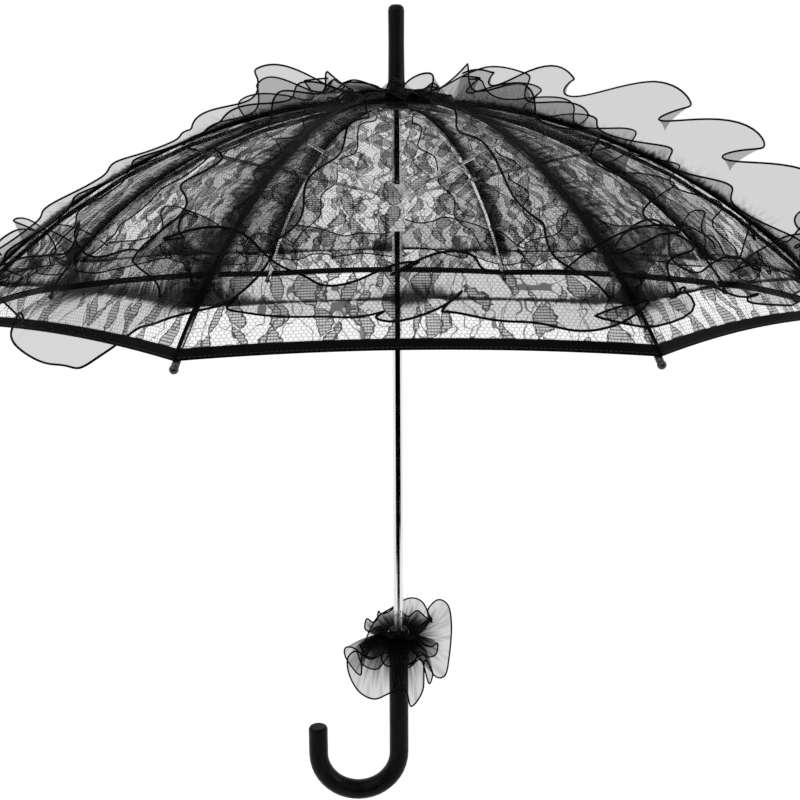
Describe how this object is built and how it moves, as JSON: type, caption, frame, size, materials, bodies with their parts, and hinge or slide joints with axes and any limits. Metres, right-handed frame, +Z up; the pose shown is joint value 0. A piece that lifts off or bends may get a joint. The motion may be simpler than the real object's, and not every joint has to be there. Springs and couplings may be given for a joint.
{
  "type": "lace parasol",
  "caption": "Open lace parasol with a crook handle, a sliding runner that folds the ribs and canopy, and organza ruffles on the seams, hem, crown and handle.",
  "frame": {"origin": "centre of the straight hand grip, on the shaft's axis", "axes": "+Z up the shaft towards the ferrule, -X from the grip towards the crook's hook end, +Y to the side that the shaft's catches face"},
  "size_m": [0.774, 0.774, 0.807],
  "materials": {
    "chrome": "polished",
    "steel": "satin",
    "rib_steel": "bright plated",
    "white_plastic": "gloss, slightly translucent",
    "black_plastic": "gloss",
    "handle_cover": "black satin cloth over a plastic core",
    "satin_cover": "black satin",
    "lace": "black floral net lace",
    "organza": "sheer black organza with a corded edge"
  },
  "bodies": {
    "frame": {"shaft": "chrome", "ferrule": "satin_cover", "top_notch": "black_plastic", "notch_wire": "steel", "crown_cap": "satin_cover", "crown_ruffle": "organza", "runner_stop": "steel", "handle": "handle_cover", "handle_ruffle": "organza"},
    "runner": {"runner": "white_plastic"},
    "top_catch": {"top_catch": "steel"},
    "bottom_catch": {"bottom_catch": "steel"},
    "rib_1": {"rib_1": "rib_steel", "rib_tip_1": "black_plastic", "canopy_1": "lace", "seam_ruffle_1": "organza", "hem_ruffle_1": "organza"},
    "stretcher_1": {"stretcher_1": "rib_steel"},
    "rib_2": {"rib_2": "rib_steel", "rib_tip_2": "black_plastic", "canopy_2": "lace", "seam_ruffle_2": "organza", "hem_ruffle_2": "organza"},
    "stretcher_2": {"stretcher_2": "rib_steel"},
    "rib_3": {"rib_3": "rib_steel", "rib_tip_3": "black_plastic", "canopy_3": "lace", "seam_ruffle_3": "organza", "hem_ruffle_3": "organza"},
    "stretcher_3": {"stretcher_3": "rib_steel"},
    "rib_4": {"rib_4": "rib_steel", "rib_tip_4": "black_plastic", "canopy_4": "lace", "seam_ruffle_4": "organza", "hem_ruffle_4": "organza"},
    "stretcher_4": {"stretcher_4": "rib_steel"},
    "rib_5": {"rib_5": "rib_steel", "rib_tip_5": "black_plastic", "canopy_5": "lace", "seam_ruffle_5": "organza", "hem_ruffle_5": "organza"},
    "stretcher_5": {"stretcher_5": "rib_steel"},
    "rib_6": {"rib_6": "rib_steel", "rib_tip_6": "black_plastic", "canopy_6": "lace", "seam_ruffle_6": "organza", "hem_ruffle_6": "organza"},
    "stretcher_6": {"stretcher_6": "rib_steel"},
    "rib_7": {"rib_7": "rib_steel", "rib_tip_7": "black_plastic", "canopy_7": "lace", "seam_ruffle_7": "organza", "hem_ruffle_7": "organza"},
    "stretcher_7": {"stretcher_7": "rib_steel"},
    "rib_8": {"rib_8": "rib_steel", "rib_tip_8": "black_plastic", "canopy_8": "lace", "seam_ruffle_8": "organza", "hem_ruffle_8": "organza"},
    "stretcher_8": {"stretcher_8": "rib_steel"}
  },
  "joints": [
    {"name": "runner_slide", "type": "slide", "parent": "frame", "child": "runner", "axis": [0, 0, -1], "range_m": [0, 0.30106]},
    {"name": "top_catch_press", "type": "slide", "parent": "frame", "child": "top_catch", "axis": [0, -1, 0], "range_m": [0, 0.002], "stiffness_N_per_m": 400},
    {"name": "bottom_catch_press", "type": "slide", "parent": "frame", "child": "bottom_catch", "axis": [0, -1, 0], "range_m": [0, 0.002], "stiffness_N_per_m": 400},
    {"name": "rib_1_hinge", "type": "hinge", "parent": "frame", "child": "rib_1", "pos_m": [0.00402, -0.0097, 0.59361], "axis": [0.9239, 0.3827, 0], "range_deg": [0, 63], "deforming": ["canopy_1", "seam_ruffle_1", "hem_ruffle_1"]},
    {"name": "stretcher_1_hinge", "type": "hinge", "parent": "rib_1", "child": "stretcher_1", "pos_m": [0.07845, -0.1894, 0.55191], "axis": [-0.9239, -0.3827, 0], "range_deg": [0, 126]},
    {"name": "rib_2_hinge", "type": "hinge", "parent": "frame", "child": "rib_2", "pos_m": [0.0097, -0.00402, 0.59361], "axis": [0.3827, 0.9239, 0], "range_deg": [0, 63], "deforming": ["canopy_2", "seam_ruffle_2", "hem_ruffle_2"]},
    {"name": "stretcher_2_hinge", "type": "hinge", "parent": "rib_2", "child": "stretcher_2", "pos_m": [0.1894, -0.07845, 0.55191], "axis": [-0.3827, -0.9239, 0], "range_deg": [0, 126]},
    {"name": "rib_3_hinge", "type": "hinge", "parent": "frame", "child": "rib_3", "pos_m": [0.0097, 0.00402, 0.59361], "axis": [-0.3827, 0.9239, 0], "range_deg": [0, 63], "deforming": ["canopy_3", "seam_ruffle_3", "hem_ruffle_3"]},
    {"name": "stretcher_3_hinge", "type": "hinge", "parent": "rib_3", "child": "stretcher_3", "pos_m": [0.1894, 0.07845, 0.55191], "axis": [0.3827, -0.9239, 0], "range_deg": [0, 126]},
    {"name": "rib_4_hinge", "type": "hinge", "parent": "frame", "child": "rib_4", "pos_m": [0.00402, 0.0097, 0.59361], "axis": [-0.9239, 0.3827, 0], "range_deg": [0, 63], "deforming": ["canopy_4", "seam_ruffle_4", "hem_ruffle_4"]},
    {"name": "stretcher_4_hinge", "type": "hinge", "parent": "rib_4", "child": "stretcher_4", "pos_m": [0.07845, 0.1894, 0.55191], "axis": [0.9239, -0.3827, 0], "range_deg": [0, 126]},
    {"name": "rib_5_hinge", "type": "hinge", "parent": "frame", "child": "rib_5", "pos_m": [-0.00402, 0.0097, 0.59361], "axis": [-0.9239, -0.3827, 0], "range_deg": [0, 63], "deforming": ["canopy_5", "seam_ruffle_5", "hem_ruffle_5"]},
    {"name": "stretcher_5_hinge", "type": "hinge", "parent": "rib_5", "child": "stretcher_5", "pos_m": [-0.07845, 0.1894, 0.55191], "axis": [0.9239, 0.3827, 0], "range_deg": [0, 126]},
    {"name": "rib_6_hinge", "type": "hinge", "parent": "frame", "child": "rib_6", "pos_m": [-0.0097, 0.00402, 0.59361], "axis": [-0.3827, -0.9239, 0], "range_deg": [0, 63], "deforming": ["canopy_6", "seam_ruffle_6", "hem_ruffle_6"]},
    {"name": "stretcher_6_hinge", "type": "hinge", "parent": "rib_6", "child": "stretcher_6", "pos_m": [-0.1894, 0.07845, 0.55191], "axis": [0.3827, 0.9239, 0], "range_deg": [0, 126]},
    {"name": "rib_7_hinge", "type": "hinge", "parent": "frame", "child": "rib_7", "pos_m": [-0.0097, -0.00402, 0.59361], "axis": [0.3827, -0.9239, 0], "range_deg": [0, 63], "deforming": ["canopy_7", "seam_ruffle_7", "hem_ruffle_7"]},
    {"name": "stretcher_7_hinge", "type": "hinge", "parent": "rib_7", "child": "stretcher_7", "pos_m": [-0.1894, -0.07845, 0.55191], "axis": [-0.3827, 0.9239, 0], "range_deg": [0, 126]},
    {"name": "rib_8_hinge", "type": "hinge", "parent": "frame", "child": "rib_8", "pos_m": [-0.00402, -0.0097, 0.59361], "axis": [0.9239, -0.3827, 0], "range_deg": [0, 63], "deforming": ["canopy_8", "seam_ruffle_8", "hem_ruffle_8"]},
    {"name": "stretcher_8_hinge", "type": "hinge", "parent": "rib_8", "child": "stretcher_8", "pos_m": [-0.07845, -0.1894, 0.55191], "axis": [-0.9239, 0.3827, 0], "range_deg": [0, 126]}
  ],
  "couplings": [
    {"joint": "rib_1_hinge", "follows": "runner_slide", "rad_per_m": 3.6523},
    {"joint": "stretcher_1_hinge", "follows": "runner_slide", "rad_per_m": 7.3046},
    {"joint": "rib_2_hinge", "follows": "runner_slide", "rad_per_m": 3.6523},
    {"joint": "stretcher_2_hinge", "follows": "runner_slide", "rad_per_m": 7.3046},
    {"joint": "rib_3_hinge", "follows": "runner_slide", "rad_per_m": 3.6523},
    {"joint": "stretcher_3_hinge", "follows": "runner_slide", "rad_per_m": 7.3046},
    {"joint": "rib_4_hinge", "follows": "runner_slide", "rad_per_m": 3.6523},
    {"joint": "stretcher_4_hinge", "follows": "runner_slide", "rad_per_m": 7.3046},
    {"joint": "rib_5_hinge", "follows": "runner_slide", "rad_per_m": 3.6523},
    {"joint": "stretcher_5_hinge", "follows": "runner_slide", "rad_per_m": 7.3046},
    {"joint": "rib_6_hinge", "follows": "runner_slide", "rad_per_m": 3.6523},
    {"joint": "stretcher_6_hinge", "follows": "runner_slide", "rad_per_m": 7.3046},
    {"joint": "rib_7_hinge", "follows": "runner_slide", "rad_per_m": 3.6523},
    {"joint": "stretcher_7_hinge", "follows": "runner_slide", "rad_per_m": 7.3046},
    {"joint": "rib_8_hinge", "follows": "runner_slide", "rad_per_m": 3.6523},
    {"joint": "stretcher_8_hinge", "follows": "runner_slide", "rad_per_m": 7.3046}
  ]
}
